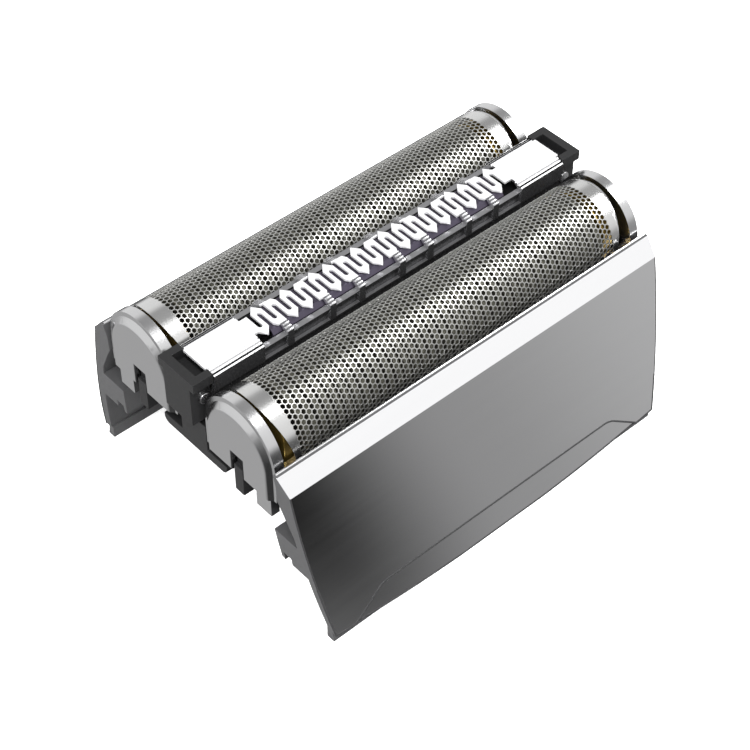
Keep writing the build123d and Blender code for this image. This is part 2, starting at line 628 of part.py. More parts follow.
def serpentine():
    """Flat meander of the comb between the two end plates."""
    corner_of = {i: 1 for i in RIGHT_POST_SLOTS + REAR_RIGHT_SLOTS}
    corner_of.update({i: -1 for i in LEFT_POST_SLOTS + REAR_LEFT_SLOTS})
    metal = [Rectangle(2 * COMB_PLATE_START_X, 2 * TONGUE_HALF)]
    slots = []
    for index in range(SLOT_COUNT):
        x = slot_x(index)
        side = -1 if index % 2 == 0 else 1
        metal.append(finger_tip(x, side, corner_of.get(index, 0)))
        end_y = side * (SLOT_END_Y - SLOT_WIDTH / 2)
        length = TIP_Y + SLOT_END_Y
        slots.append(Pos(x, end_y) * Circle(SLOT_WIDTH / 2))
        slots.append(Pos(x, end_y - side * length / 2) * Rectangle(SLOT_WIDTH, length))
    sheet = Sketch() + metal - slots
    return Pos(0, 0, TRIMMER_TOP_Z - COMB_SHEET) * extrude(sheet, COMB_SHEET)


def post_places():
    """X of the posts that tie the meander to the side walls."""
    right = [slot_x(i) + POST_SHIFT for i in RIGHT_POST_SLOTS]
    left = [slot_x(i) + POST_SHIFT / 2 for i in LEFT_POST_SLOTS]
    return sorted(right + left)


def trimmer_comb():
    """Folded steel channel: end plates, meander, posts, lips and side walls."""
    step_z = TRIMMER_TOP_Z - COMB_STEP_DROP
    low_z = BODY_HEIGHT - COMB_BOTTOM_DROP
    lip_z = TRIMMER_TOP_Z - UPPER_LIP_DROP
    end = comb_shell(COMB_PLATE_START_X, COMB_WALL_END_X, 0)
    end += block(
        COMB_WALL_END_X,
        COMB_END_X,
        -COMB_PLATE_HALF,
        COMB_PLATE_HALF,
        TRIMMER_TOP_Z - COMB_SHEET,
        TRIMMER_TOP_Z,
    )
    start_x = COMB_PLATE_START_X
    wall = block(-start_x, start_x, COMB_INNER_HALF, COMB_LOWER_HALF, low_z, lip_z + LIP_HEIGHT)
    for z in (lip_z, step_z):
        wall += block(-start_x, start_x, COMB_INNER_HALF, COMB_HALF_WIDTH, z, z + LIP_HEIGHT)
    post_start_y = BLUNT_Y - POST_OVERLAP
    posts = [comb_shell(x - POST_WIDTH / 2, x + POST_WIDTH / 2, post_start_y) for x in post_places()]
    return both_ends(end) + both_sides(wall) + posts + serpentine()


def trimmer_carrier():
    """Plastic carrier of the comb: end hooks, posts, blocks inside the channel and two thin rails."""
    hook_low = TRIMMER_TOP_Z - HOOK_DEPTH
    low_z = BODY_HEIGHT - CARRIER_BLOCK_BOTTOM_DROP
    block_top = BODY_HEIGHT + CARRIER_BLOCK_TOP_RISE
    end = block(HOOK_START_X, HOOK_END_X, -HOOK_HALF_WIDTH, HOOK_HALF_WIDTH, hook_low, TRIMMER_TOP_Z)
    end -= block(
        HOOK_START_X,
        HOOK_POCKET_END_X,
        -HOOK_POCKET_HALF,
        HOOK_POCKET_HALF,
        TRIMMER_TOP_Z - HOOK_POCKET_DEPTH,
        TRIMMER_TOP_Z,
    )
    end += block(
        HOOK_START_X, HOOK_END_X, -POST_HALF_WIDTH, POST_HALF_WIDTH, BODY_HEIGHT - POST_BOTTOM_DROP, hook_low
    )
    end += block(CARRIER_BLOCK_START_X, HOOK_START_X, -COMB_INNER_HALF, COMB_INNER_HALF, low_z, block_top)
    rail = block(
        -CARRIER_BLOCK_START_X,
        CARRIER_BLOCK_START_X,
        COMB_INNER_HALF - CARRIER_RAIL_THICKNESS,
        COMB_INNER_HALF,
        low_z,
        low_z + CARRIER_RAIL_HEIGHT,
    )
    bore = Pos(PIN_X, 0, BODY_HEIGHT + PIN_RISE) * Rot(90, 0, 0) * Cylinder(PIN_RADIUS, 2 * COMB_HALF_WIDTH)
    return both_ends(end - bore) + both_sides(rail)


def trimmer_pin():
    """Cross pin pressed into the far post."""
    length = 2 * (POST_HALF_WIDTH + PIN_PROUD)
    return Pos(PIN_X, 0, BODY_HEIGHT + PIN_RISE) * Rot(90, 0, 0) * Cylinder(PIN_RADIUS, length)


def trimmer_blade():
    """Toothed steel blade that slides under the meander."""
    top_z = TRIMMER_TOP_Z - COMB_SHEET - TRIM_BLADE_GAP
    half = TRIM_BLADE_HALF_LENGTH
    width = TRIM_BLADE_HALF_WIDTH
    low_z = top_z - TRIM_BLADE_DEPTH
    inner = width - TRIM_BLADE_SHEET
    blade = block(-half, half, -width, width, low_z, top_z)
    blade = chamfer(blade.edges().filter_by(Axis.X).group_by(Axis.Z)[-1], TRIM_BLADE_CHAMFER)
    blade -= block(-half, half, -inner, inner, low_z, top_z - TRIM_BLADE_SHEET)
    half_slot = TRIM_TOOTH_SLOT / 2
    tooth = block(-half_slot, half_slot, -TRIM_TOOTH_HALF, TRIM_TOOTH_HALF, top_z - TRIM_BLADE_SHEET, top_z)
    places = [(i - (TRIM_TOOTH_COUNT - 1) / 2) * 2 * SLOT_PITCH for i in range(TRIM_TOOTH_COUNT)]
    return blade - [Pos(x, 0, 0) * tooth for x in places]


def trimmer_block():
    """Plastic block under the trimmer blade, with its drive socket."""
    top_z = TRIMMER_TOP_Z - COMB_SHEET - TRIM_BLADE_GAP - TRIM_BLADE_SHEET
    low_z = BODY_HEIGHT - CARRIER_BLOCK_BOTTOM_DROP
    half_x = TRIM_BLOCK_HALF_LENGTH
    half_y = TRIM_BLOCK_HALF_WIDTH
    socket_x = TRIM_SOCKET_LENGTH / 2
    shape = block(-half_x, half_x, -half_y, half_y, low_z, top_z)
    return shape - block(-socket_x, socket_x, -half_y, half_y, low_z, low_z + TRIM_SOCKET_DEPTH)


def coil_spring(low_z, high_z, turns):
    """Compression spring standing on Z between two heights."""
    height = high_z - low_z - 2 * SPRING_WIRE_R
    path = Helix(pitch=height / turns, height=height, radius=SPRING_R)
    wire = Plane(origin=path @ 0, z_dir=path % 0) * RegularPolygon(SPRING_WIRE_R, 6)
    return Pos(0, 0, low_z + SPRING_WIRE_R) * sweep(wire, path=path)


def foil_spring():
    """Spring between a chassis well and a foil holder's bridge."""
    low_z = BODY_HEIGHT - CHASSIS_BOTTOM_DROP + SPRING_WELL_FLOOR
    return coil_spring(low_z, CAP_BOTTOM_Z, FOIL_SPRING_TURNS)


def trimmer_spring():
    """Spring between the chassis wall and the trimmer carrier."""
    return coil_spring(CHASSIS_TOP_Z, BODY_HEIGHT - CARRIER_BLOCK_BOTTOM_DROP, TRIMMER_SPRING_TURNS)


def build():
    """All sub-parts by node name."""
    rear_skirt = skirt()
    nodes = {
        "rear_skirt": rear_skirt,
        "front_skirt": mirror(rear_skirt, about=Plane.XZ),
        "chassis": chassis(),
        "trimmer_comb": trimmer_comb(),
        "trimmer_carrier": trimmer_carrier(),
        "trimmer_blade": trimmer_blade(),
        "trimmer_drive_block": trimmer_block(),
    }
    rear_unit = {
        "foil_holder": foil_holder(),
        "foil": foil(),
        "cutter_blades": cutter_blades(),
        "cutter_carrier": cutter_carrier(),
        "far_end_block": end_block(),
        "near_end_block": mirror(end_block(), about=Plane.YZ),
        "far_spring": Pos(SPRING_X, 0, 0) * foil_spring(),
        "near_spring": Pos(-SPRING_X, 0, 0) * foil_spring(),
    }
    for name, shape in rear_unit.items():
        placed = Pos(0, FOIL_Y, 0) * shape
        nodes["rear_" + name] = placed
        nodes["front_" + name] = mirror(placed, about=Plane.XZ)
    nodes["far_trimmer_pin"] = trimmer_pin()
    nodes["near_trimmer_pin"] = mirror(trimmer_pin(), about=Plane.YZ)
    nodes["far_trimmer_spring"] = Pos(SPRING_X, 0, 0) * trimmer_spring()
    nodes["near_trimmer_spring"] = Pos(-SPRING_X, 0, 0) * trimmer_spring()
    return nodes


os.makedirs("parts", exist_ok=True)
for node_name, node_shape in build().items():
    export_step(node_shape, f"parts/{node_name}.step")
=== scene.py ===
import math

import bmesh
import bpy
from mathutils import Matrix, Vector


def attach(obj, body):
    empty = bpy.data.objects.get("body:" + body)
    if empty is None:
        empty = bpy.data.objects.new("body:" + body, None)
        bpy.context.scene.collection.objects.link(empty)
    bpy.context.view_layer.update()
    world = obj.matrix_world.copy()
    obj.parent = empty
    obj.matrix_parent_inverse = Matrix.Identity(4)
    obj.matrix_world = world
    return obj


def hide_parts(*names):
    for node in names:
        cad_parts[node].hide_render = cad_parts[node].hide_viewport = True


# Shaver foil head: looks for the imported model, in the same frame as the solids: X along the foils, Z up.
# Named lengths of the part are in mm, those of the camera, the lights and the floor in metres.

MM = 0.001

# Foil shell: places of its arch and three points (x, z) of its drawn-in end
FOIL_Y = 8.33
ARCH_CENTRE_Z = 23.15
FOIL_R = 5.5
FOIL_SHEET = 0.1
FOIL_LOW_Z = 20.5
FOIL_TOP_END = (25.34, 28.9)
FOIL_MID_END = (24.59, 26.5)
FOIL_SIDE_END = (23.84, 23.1)

# Foil openings: hexagons whose corners are given in half radii along X and half pitches along the arch
HOLE_PITCH = 0.63
HOLE_SHARE = 0.81
FIELD_HALF_X = 23.4
FIELD_HALF_ARC = 8.2
HEXAGON = ((2, 0), (1, 1), (-1, 1), (-2, 0), (-1, -1), (1, -1))

# A foil's face lies in the sheet where its normal has more than this part along the arch's
ALONG_ARCH = 0.7

# Skirts: the bead on the ridge, a thin dark line of painted shade round the skin and the moulded lip at the
# foot
RIDGE_Z = 24.1
BEAD_Y = 14.62
BEAD_R = 0.16
BEAD_SINK = 0.2
BEAD_HALF_LENGTH = 27.3
BEAD_SIDES = 12
SHADE_LINE_TOP_Z = 22.5
SHADE_LINE_R = 0.15
SHADE_LINE_END_R = 0.1
SHADE_LINE_END_X = 26.0
SHADE_LINE_SINK = 0.6
SHADE_LINE_LAP = 0.03
SHADE_LINE_SIDES = 8
LIP_TOP_Z = 1.75
FOOT_OUTER_Y = 21.34
LIP_SETBACK = 0.6

# Trimmer comb: depths below its top that bound the faces painted lit and the ribs, and where the ribbed tops
# of its posts are
COMB_TOP_Z = 28.69
COMB_LIT_DEPTH = 0.31
SHOULDER_DEPTH = 0.7
RIB_DEPTH = 0.62
RIB_INNER_Y = 1.85
RIB_HALF_X = 18.9

# End caps: their outer faces stand just past this X
BOSS_FACE_X = 27.43

# Least part of a face's normal that points outwards or up, for a skin or a top
OUTWARD = 0.3
UPWARD = 0.5

# Materials of a face by their place on the piece, and the mark for the material of the faces beside an edge
SKIN, GREY = 0, 1
# Comb zones are lit and shaded copies of one steel: painted lit top, painted shade on the walls, half-lit
# lips' tops and ribbed post tops
LIT, SHADED, LIP, RIB = 0, 1, 2, 3
SHEET, MESH = 0, 1
OWN = -1

# Broken edges: their widths, and the angles in degrees from which an edge is broken or stays crisp
EDGE_BREAK = 0.1
BOSS_BREAK = 0.45
HOLDER_BREAK = 0.12
CARRIER_BREAK = 0.15
SMALL_BREAK = 0.05
COMB_BREAK = 0.04
BREAK_ANGLE = 30
SKIRT_BREAK_ANGLE = 20
SHARP_ANGLE = 35
FLAT_ANGLE = 0.5
WELD = 0.002

# Grain of every surface
NOISE_DETAIL = 4.0
BUMP_DISTANCE = 0.0002
LEAST_ROUGHNESS = 0.02

# Camera solved from the photograph
CAMERA_PLACE = (-0.103081, -0.114682, 0.168733)
CAMERA_AZIMUTH = -41.733
CAMERA_ELEVATION = 46.104
CAMERA_LENS = 90.97
CAMERA_SENSOR = 36.0
CAMERA_CLIP = 0.01

# Studio: ramps over one component of a direction, each as start, end, level at the start, level at the end
RIGHT_CARD_X = (0.395, 0.48, 0.0, 0.27)
FAR_RIGHT_CARD_X = (0.48, 0.60, 0.0, 0.16)
LOW_CARD_Z = (-0.64, -0.50, 0.25, 0.0)
LOW_CARD_Y = (-0.70, -0.60, 1.0, 0.0)
LOW_CARD_X = (0.38, 0.47, 1.0, 0.15)
DEEP_FADE_Z = (-0.78, -0.62, 0.1, 1.0)
CARD_LEAST = 0.01
SIDE_CARD_X = (-0.1, 0.3, 0.52, 0.0)
SIDE_CARD_Y = (-0.35, 0.35, 0.05, 1.0)
HORIZON_LIFT_Y = (-0.2, 0.4, 0.0, 0.4)
HORIZON_Z = (-0.05, 0.25, 0.0, 1.0)
STRIP_CENTRE_Y = 0.35
STRIP_Y = (0.22, 0.42, 1.0, 0.0)
STRIP_Z = (0.45, 0.62, 0.0, 1.0)
STRIP_DEPTH = 0.6
LIGHT_AIM = (0, 0, 0.02)

# Floor
FLOOR_HALF = 1.5
FLOOR_DROP = 0.00002
FLOOR_WHITE = (0.93, 0.93, 0.93, 1)
FLOOR_GLOW = 0.6


def foil_end_x(z):
    """Half length of the foil at height z: a parabola through the three points of its drawn-in end."""
    if z <= FOIL_SIDE_END[1]:
        return FOIL_SIDE_END[0]
    points = (FOIL_SIDE_END, FOIL_MID_END, FOIL_TOP_END)
    total = 0.0
    for i, (x_i, z_i) in enumerate(points):
        weight = 1.0
        for j, (_, z_j) in enumerate(points):
            if j != i:
                weight *= (z - z_j) / (z_i - z_j)
        total += weight * x_i
    return total


def on_arch(x, arc, radius):
    """Point on the foil's arch: arc is the length along it from the crown, at the outer radius."""
    quarter = FOIL_R * math.pi / 2
    if abs(arc) <= quarter:
        angle = arc / FOIL_R
        return (x, radius * math.sin(angle), ARCH_CENTRE_Z + radius * math.cos(angle))
    drop = abs(arc) - quarter
    return (x, math.copysign(radius, arc), ARCH_CENTRE_Z - drop)


def arch_normal(place, centre_y):
    """Direction straight out of the foil's arch at a place."""
    rise = max(0.0, place.z - ARCH_CENTRE_Z * MM)
    return Vector((0, place.y - centre_y * MM, rise)).normalized()


def linked(name, mesh):
    """New object in the scene with this mesh."""
    piece = bpy.data.objects.new(name, mesh)
    bpy.context.scene.collection.objects.link(piece)
    return piece


def smooth_on_arch(mesh, centre_y):
    """Give the faces of the sheet the exact normals of the arch and leave the walls of openings flat."""
    normals = []
    for polygon in mesh.polygons:
        polygon.use_smooth = True
        for v in polygon.vertices:
            outward = arch_normal(mesh.vertices[v].co, centre_y)
            facing = outward.dot(polygon.normal)
            if abs(facing) > ALONG_ARCH:
                normals.append(outward * math.copysign(1.0, facing))
            else:
                normals.append(polygon.normal)
    mesh.normals_split_custom_set(normals)


def fine_foil(name, centre_y, body, node):
    """Foil shell as one closed sheet of hexagonal cells, those in the field with an opening."""
    half_arc = FOIL_R * math.pi / 2 + ARCH_CENTRE_Z - FOIL_LOW_Z
    radius = HOLE_PITCH / math.sqrt(3)
    step_x = 1.5 * radius
    verts = []
    faces = []
    open_faces = []
    rim_index = {}
    edge_use = {}

    def limited(x, arc):
        arc = max(-half_arc, min(half_arc, arc))
        z = on_arch(0, arc, FOIL_R)[2]
        end = foil_end_x(z)
        return max(-end, min(end, x)), arc

    def add_pair(x, arc):
        index = len(verts)
        for layer in (FOIL_R, FOIL_R - FOIL_SHEET):
            px, py, pz = on_arch(x, arc, layer)
            verts.append((px * MM, (py + centre_y) * MM, pz * MM))
        return index

    def rim_vertex(key_x, key_arc):
        x, arc = limited(key_x * radius / 2, key_arc * HOLE_PITCH / 2)
        key = (round(x, 4), round(arc, 4))
        if key not in rim_index:
            rim_index[key] = add_pair(x, arc)
        return rim_index[key]

    columns = math.ceil(FOIL_TOP_END[0] / step_x) + 1
    rows = math.ceil(half_arc / HOLE_PITCH) + 1
    for i in range(-columns, columns + 1):
        for j in range(-rows, rows + 1):
            key_arc = 2 * j + i % 2
            centre_x = i * step_x
            centre_arc = key_arc * HOLE_PITCH / 2
            ring = []
            for dx, dt in HEXAGON:
                index = rim_vertex(3 * i + dx, key_arc + dt)
                if not ring or (index != ring[-1] and index != ring[0]):
                    ring.append(index)
            if len(ring) < 3:
                continue
            for a, b in zip(ring, ring[1:] + ring[:1]):
                edge_use[(a, b)] = True
            inside = abs(centre_x) < FIELD_HALF_X and abs(centre_arc) < FIELD_HALF_ARC
            if not inside or len(ring) < len(HEXAGON):
                faces.append(ring)
                faces.append([v + 1 for v in reversed(ring)])
                continue
            hole = []
            for dx, dt in HEXAGON:
                hole.append(add_pair(
                    centre_x + dx * radius / 2 * HOLE_SHARE,
                    centre_arc + dt * HOLE_PITCH / 2 * HOLE_SHARE,
                ))
            for k in range(len(HEXAGON)):
                m = (k + 1) % len(HEXAGON)
                open_faces.append([ring[k], ring[m], hole[m], hole[k]])
                open_faces.append([ring[m] + 1, ring[k] + 1, hole[k] + 1, hole[m] + 1])
                open_faces.append([hole[k], hole[m], hole[m] + 1, hole[k] + 1])
    for a, b in edge_use:
        if (b, a) not in edge_use:
            faces.append([b, a, a + 1, b + 1])
    mesh = bpy.data.meshes.new(name)
    mesh.from_pydata(verts, [], faces + open_faces)
    for polygon in mesh.polygons:
        polygon.material_index = SHEET if polygon.index < len(faces) else MESH
    mesh.validate()
    mesh.update()
    piece = linked(name, mesh)
    smooth_on_arch(mesh, centre_y)
    mesh.materials.append(foil_steel)
    mesh.materials.append(mesh_steel)
    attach(piece, body)
    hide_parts(node)


def surface(name, colour, metallic, roughness, grain, scale, spread, bump, shade=0.06, specular=0.5):
    """Principled surface whose roughness, shade and height vary with a noise stretched by grain."""
    material = bpy.data.materials.new(name)
    material.use_nodes = True
    nodes = material.node_tree.nodes
    links = material.node_tree.links
    shader = nodes["Principled BSDF"]
    shader.inputs["Metallic"].default_value = metallic
    shader.inputs["Specular IOR Level"].default_value = specular
    place = nodes.new("ShaderNodeTexCoord")
    mapping = nodes.new("ShaderNodeMapping")
    mapping.inputs["Scale"].default_value = grain
    links.new(place.outputs["Object"], mapping.inputs["Vector"])
    noise = nodes.new("ShaderNodeTexNoise")
    noise.inputs["Scale"].default_value = scale
    noise.inputs["Detail"].default_value = NOISE_DETAIL
    links.new(mapping.outputs["Vector"], noise.inputs["Vector"])
    rough = nodes.new("ShaderNodeMapRange")
    rough.inputs["To Min"].default_value = max(LEAST_ROUGHNESS, roughness - spread)
    rough.inputs["To Max"].default_value = roughness + spread
    links.new(noise.outputs["Fac"], rough.inputs["Value"])
    links.new(rough.outputs["Result"], shader.inputs["Roughness"])
    tint = nodes.new("ShaderNodeMix")
    tint.data_type = "RGBA"
    tint.inputs["A"].default_value = (*(c * (1 - shade) for c in colour), 1)
    tint.inputs["B"].default_value = (*(min(1.0, c * (1 + shade)) for c in colour), 1)
    links.new(noise.outputs["Fac"], tint.inputs["Factor"])
    links.new(tint.outputs["Result"], shader.inputs["Base Color"])
    height = nodes.new("ShaderNodeBump")
    height.inputs["Strength"].default_value = bump
    height.inputs["Distance"].default_value = BUMP_DISTANCE
    links.new(noise.outputs["Fac"], height.inputs["Height"])
    links.new(height.outputs["Normal"], shader.inputs["Normal"])
    return material


def comb_zone(centre, normal):
    """Material of a comb's face, as lit and shaded copies of one steel: painted lit plates and meander,
    painted shade on the walls, half-lit lips' tops or posts' ribs.
    """
    if centre.z > COMB_TOP_Z - RIB_DEPTH and abs(centre.y) > RIB_INNER_Y and abs(centre.x) < RIB_HALF_X:
        return RIB
    on_shoulder = normal.z > UPWARD and centre.z > COMB_TOP_Z - SHOULDER_DEPTH
    if on_shoulder or centre.z > COMB_TOP_Z - COMB_LIT_DEPTH:
        return LIT
    return LIP if normal.z > UPWARD else SHADED


def skirt_zone(centre, normal):
    """Material of a skirt's face: mirror skin outside, moulded grey inside, at the ends and on the lip."""
    outside = normal.y * (1 if centre.y > 0 else -1)
    on_lip = centre.z < LIP_TOP_Z and abs(centre.y) < FOOT_OUTER_Y - LIP_SETBACK
    return SKIN if outside > OUTWARD and not on_lip else GREY


def middle(edge):
    """Middle of an edge in mm."""
    return (edge.verts[0].co + edge.verts[1].co) / 2 / MM


def beside(edge):
    """Set of the materials of the faces beside an edge."""
    return {face.material_index for face in edge.link_faces}


def on_boss_face(edge):
    """True for an edge of a cap's outer face."""
    return abs(middle(edge).x) > BOSS_FACE_X


def on_shaded_border(edge):
    """True for an outer edge between a skirt's mirror skin and its moulded part, below the ridge, where a
    line of painted shade goes.
    """
    return edge.is_convex and beside(edge) == {SKIN, GREY} and middle(edge).z < SHADE_LINE_TOP_Z


def on_ribs(edge):
    """True for an edge of the comb's ribbed post tops."""
    return RIB in beside(edge)


def off_ribs(edge):
    """True for every other edge of the comb."""
    return not on_ribs(edge)


def clean_copy(node, choose=None):
    """bmesh of a solid with merged flat faces; choose gives a face's material."""
    work = bmesh.new()
    work.from_mesh(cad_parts[node].data)
    bmesh.ops.remove_doubles(work, verts=work.verts, dist=WELD * MM)
    bmesh.ops.dissolve_limit(
        work, angle_limit=math.radians(FLAT_ANGLE), verts=work.verts, edges=work.edges,
    )
    if choose:
        for face in work.faces:
            face.material_index = choose(face.calc_center_median() / MM, face.normal)
    return work


def smooth(mesh):
    """Smooth shading, with the sharp edges left crisp."""
    for polygon in mesh.polygons:
        polygon.use_smooth = True
    mesh.set_sharp_from_angle(angle=math.radians(SHARP_ANGLE))


def dressed(node, body, materials, breaks=(), choose=None, break_angle=BREAK_ANGLE):
    """Copy of a solid with clean faces and broken edges, which stands for it.

    breaks lists (width in mm, segments, test of an edge or None for all, material of the broken edge);
    choose gives a face's material.
    """
    work = clean_copy(node, choose)
    for width, segments, test, rim in breaks:
        sharp = []
        for edge in work.edges:
            if not edge.is_manifold or edge.calc_face_angle(0) < math.radians(break_angle):
                continue
            if test is None or test(edge):
                sharp.append(edge)
        bmesh.ops.bevel(
            work,
            geom=sharp,
            offset=width * MM,
            segments=segments,
            profile=0.5,
            affect="EDGES",
            clamp_overlap=True,
            material=rim,
        )
    mesh = bpy.data.meshes.new(node + "_dressed")
    work.to_mesh(mesh)
    work.free()
    for material in materials:
        mesh.materials.append(material)
    smooth(mesh)
    piece = linked(node + "_dressed", mesh)
    weighted = piece.modifiers.new("weighted_normals", "WEIGHTED_NORMAL")
    weighted.keep_sharp = True
    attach(piece, body)
    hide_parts(node)


def tube_faces(near, far):
    """Faces of a closed tube between two rings of vertices."""
    faces = [list(reversed(near)), list(far)]
    for k in range(len(near)):
        m = (k + 1) % len(near)
        faces.append([near[k], near[m], far[m], far[k]])
    return faces


def skirt_trim(name, verts, faces, material):
    """Thin trim of a skirt, with its faces turned outwards."""
    mesh = bpy.data.meshes.new(name)
    mesh.from_pydata(verts, [], faces)
    work = bmesh.new()
    work.from_mesh(mesh)
    bmesh.ops.recalc_face_normals(work, faces=work.faces)
    work.to_mesh(mesh)
    work.free()
    mesh.materials.append(material)
    piece = linked(name, mesh)
    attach(piece, "frame")
    return piece


def painted_shade_line(side):
    """Thin dark line of painted shade along the borders of a skirt's skin: its recessed band, its bottom edge
    and its ends.
    """
    work = clean_copy(f"{side}_skirt", skirt_zone)
    verts = []
    faces = []
    for edge in work.edges:
        if not on_shaded_border(edge):
            continue
        start, end = (corner.co for corner in edge.verts)
        radius = SHADE_LINE_R if abs(start.x) < SHADE_LINE_END_X * MM else SHADE_LINE_END_R
        skin = [face.normal for face in edge.link_faces if face.material_index == SKIN][0]
        inward = -(edge.link_faces[0].normal + edge.link_faces[1].normal)
        run = (end - start).normalized()
        across = skin.cross(run).normalized()
        near = list(range(len(verts), len(verts) + SHADE_LINE_SIDES))
        far = [index + SHADE_LINE_SIDES for index in near]
        for corner, step in ((start, -SHADE_LINE_LAP), (end, SHADE_LINE_LAP)):
            centre = corner + (run * step + inward * radius * SHADE_LINE_SINK) * MM
            for k in range(SHADE_LINE_SIDES):
                angle = 2 * math.pi * k / SHADE_LINE_SIDES
                verts.append(centre + (across * math.cos(angle) + skin * math.sin(angle)) * radius * MM)
        faces += tube_faces(near, far)
    work.free()
    skirt_trim(side + "_painted_shade_line", verts, faces, painted_shade_dark)


def ridge_bead(side, sign):
    """Thin round bead along the inner edge of a skirt's ridge."""
    verts = []
    for x in (-BEAD_HALF_LENGTH, BEAD_HALF_LENGTH):
        for k in range(BEAD_SIDES):
            angle = 2 * math.pi * k / BEAD_SIDES
            verts.append((
                x * MM,
                sign * (BEAD_Y + BEAD_R * math.cos(angle)) * MM,
                (RIDGE_Z + BEAD_R * (math.sin(angle) - BEAD_SINK)) * MM,
            ))
    faces = tube_faces(list(range(BEAD_SIDES)), list(range(BEAD_SIDES, 2 * BEAD_SIDES)))
    bead = skirt_trim(side + "_ridge_bead", verts, faces, mirror_skin)
    smooth(bead.data)


def area_light(name, place, width, height, power):
    """Soft rectangular light that looks at the part."""
    data = bpy.data.lights.new(name, "AREA")
    data.shape = "RECTANGLE"
    data.size = width
    data.size_y = height
    data.energy = power
    lamp = bpy.data.objects.new(name, data)
    bpy.context.scene.collection.objects.link(lamp)
    lamp.location = place
    direction = [b - a for a, b in zip(place, LIGHT_AIM)]
    flat = math.hypot(direction[0], direction[1])
    lamp.rotation_euler = (math.atan2(flat, -direction[2]), 0, math.atan2(-direction[0], direction[1]))


def studio_world():
    """White sky with a dim strip over a dark lower half with soft cards, and plain white behind the part."""
    world = bpy.data.worlds.new("studio")
    bpy.context.scene.world = world
    world.use_nodes = True
    nodes = world.node_tree.nodes
    links = world.node_tree.links
    nodes.clear()
    output = nodes.new("ShaderNodeOutputWorld")
    place = nodes.new("ShaderNodeTexCoord")
    split = nodes.new("ShaderNodeSeparateXYZ")
    links.new(place.outputs["Generated"], split.inputs["Vector"])

    def ramp(source, stops):
        node = nodes.new("ShaderNodeMapRange")
        node.interpolation_type = "SMOOTHSTEP"
        for socket, value in zip(("From Min", "From Max", "To Min", "To Max"), stops):
            node.inputs[socket].default_value = value
        links.new(source, node.inputs["Value"])
        return node.outputs["Result"]

    def maths(kind, a, b=0.0):
        node = nodes.new("ShaderNodeMath")
        node.operation = kind
        for socket, value in zip(node.inputs, (a, b)):
            if isinstance(value, (int, float)):
                socket.default_value = value
            else:
                links.new(value, socket)
        return node.outputs["Value"]

    x, y, z = split.outputs["X"], split.outputs["Y"], split.outputs["Z"]
    right_card = maths("ADD", ramp(x, RIGHT_CARD_X), ramp(x, FAR_RIGHT_CARD_X))
    low_card = maths("MULTIPLY", ramp(z, LOW_CARD_Z), ramp(y, LOW_CARD_Y))
    low_card = maths("MULTIPLY", low_card, ramp(x, LOW_CARD_X))
    cards = maths("MULTIPLY", maths("ADD", right_card, low_card), ramp(z, DEEP_FADE_Z))
    side_card = maths("MULTIPLY", ramp(x, SIDE_CARD_X), ramp(y, SIDE_CARD_Y))
    cards = maths("ADD", maths("ADD", cards, CARD_LEAST), side_card)
    sky = ramp(maths("ADD", z, ramp(y, HORIZON_LIFT_Y)), HORIZON_Z)
    strip_y = ramp(maths("ABSOLUTE", maths("SUBTRACT", y, STRIP_CENTRE_Y)), STRIP_Y)
    dimming = maths("MULTIPLY", maths("MULTIPLY", strip_y, ramp(z, STRIP_Z)), STRIP_DEPTH)
    upper = maths("MULTIPLY", sky, maths("SUBTRACT", 1.0, dimming))
    lower = maths("MULTIPLY", maths("SUBTRACT", 1.0, sky), cards)
    studio = nodes.new("ShaderNodeBackground")
    links.new(maths("ADD", upper, lower), studio.inputs["Color"])
    plain = nodes.new("ShaderNodeBackground")
    plain.inputs["Color"].default_value = (1, 1, 1, 1)
    path = nodes.new("ShaderNodeLightPath")
    mix = nodes.new("ShaderNodeMixShader")
    links.new(path.outputs["Is Camera Ray"], mix.inputs["Fac"])
    links.new(studio.outputs["Background"], mix.inputs[1])
    links.new(plain.outputs["Background"], mix.inputs[2])
    links.new(mix.outputs["Shader"], output.inputs["Surface"])


def floor():
    """Plain pale floor under the skirts."""
    mesh = bpy.data.meshes.new("floor")
    half = FLOOR_HALF
    corners = [(-half, -half, 0), (half, -half, 0), (half, half, 0), (-half, half, 0)]
    mesh.from_pydata(corners, [], [(0, 1, 2, 3)])
    plane = linked("floor", mesh)
    plane.location.z = -FLOOR_DROP
    material = bpy.data.materials.new("floor")
    material.use_nodes = True
    shader = material.node_tree.nodes["Principled BSDF"]
    shader.inputs["Base Color"].default_value = FLOOR_WHITE
    shader.inputs["Roughness"].default_value = 0.9
    shader.inputs["Specular IOR Level"].default_value = 0.1
    shader.inputs["Emission Color"].default_value = (1, 1, 1, 1)
    shader.inputs["Emission Strength"].default_value = FLOOR_GLOW
    mesh.materials.append(material)
    plane.visible_glossy = False


def place_camera():
    """Camera at the photograph's place and angle."""
    data = bpy.data.cameras.new("camera")
    data.lens = CAMERA_LENS
    data.sensor_width = CAMERA_SENSOR
    data.clip_start = CAMERA_CLIP
    camera = bpy.data.objects.new("camera", data)
    bpy.context.scene.collection.objects.link(camera)
    camera.location = CAMERA_PLACE
    camera.rotation_euler = (math.radians(90 - CAMERA_ELEVATION), 0, math.radians(CAMERA_AZIMUTH))
    bpy.context.scene.camera = camera
    bpy.context.scene.view_settings.view_transform = "Standard"


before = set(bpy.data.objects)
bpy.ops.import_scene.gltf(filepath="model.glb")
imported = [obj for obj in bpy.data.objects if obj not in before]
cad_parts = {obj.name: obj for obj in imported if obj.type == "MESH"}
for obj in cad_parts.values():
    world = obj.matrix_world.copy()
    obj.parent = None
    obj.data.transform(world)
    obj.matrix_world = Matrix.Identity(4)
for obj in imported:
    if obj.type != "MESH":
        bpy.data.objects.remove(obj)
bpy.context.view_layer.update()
place_camera()

